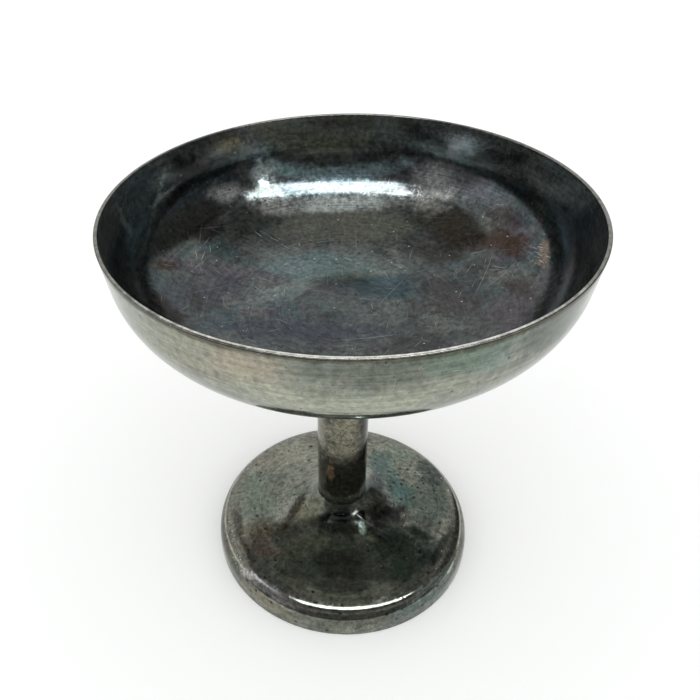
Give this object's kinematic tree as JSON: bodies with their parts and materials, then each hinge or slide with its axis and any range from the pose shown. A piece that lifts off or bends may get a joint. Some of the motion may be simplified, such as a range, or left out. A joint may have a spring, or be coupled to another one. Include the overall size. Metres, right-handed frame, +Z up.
{
  "type": "footed dish",
  "caption": "Footed serving dish in tarnished silver plate: a wide round bowl on a plain tube stem and a low domed round foot.",
  "frame": {"origin": "centre of the ring that the foot rests on", "axes": "+Z up along the stem, from the foot to the bowl"},
  "size_m": [0.15, 0.15, 0.1497],
  "materials": {
    "bowl_plate": "silver plated, tarnished polish, scratched",
    "stem_plate": "silver plated, tarnished, brushed by wear",
    "foot_plate": "silver plated, tarnished and pitted, edges worn bright",
    "brass": "turned, dull",
    "steel": "plated, dull"
  },
  "bodies": {
    "root": {"bowl": "bowl_plate", "bowl_boss": "brass", "stem_tube": "stem_plate", "stem_bush": "brass", "tie_rod": "steel", "foot": "foot_plate", "cup_washer": "steel", "lock_washer": "steel", "hex_nut": "steel"}
  },
  "joints": []
}
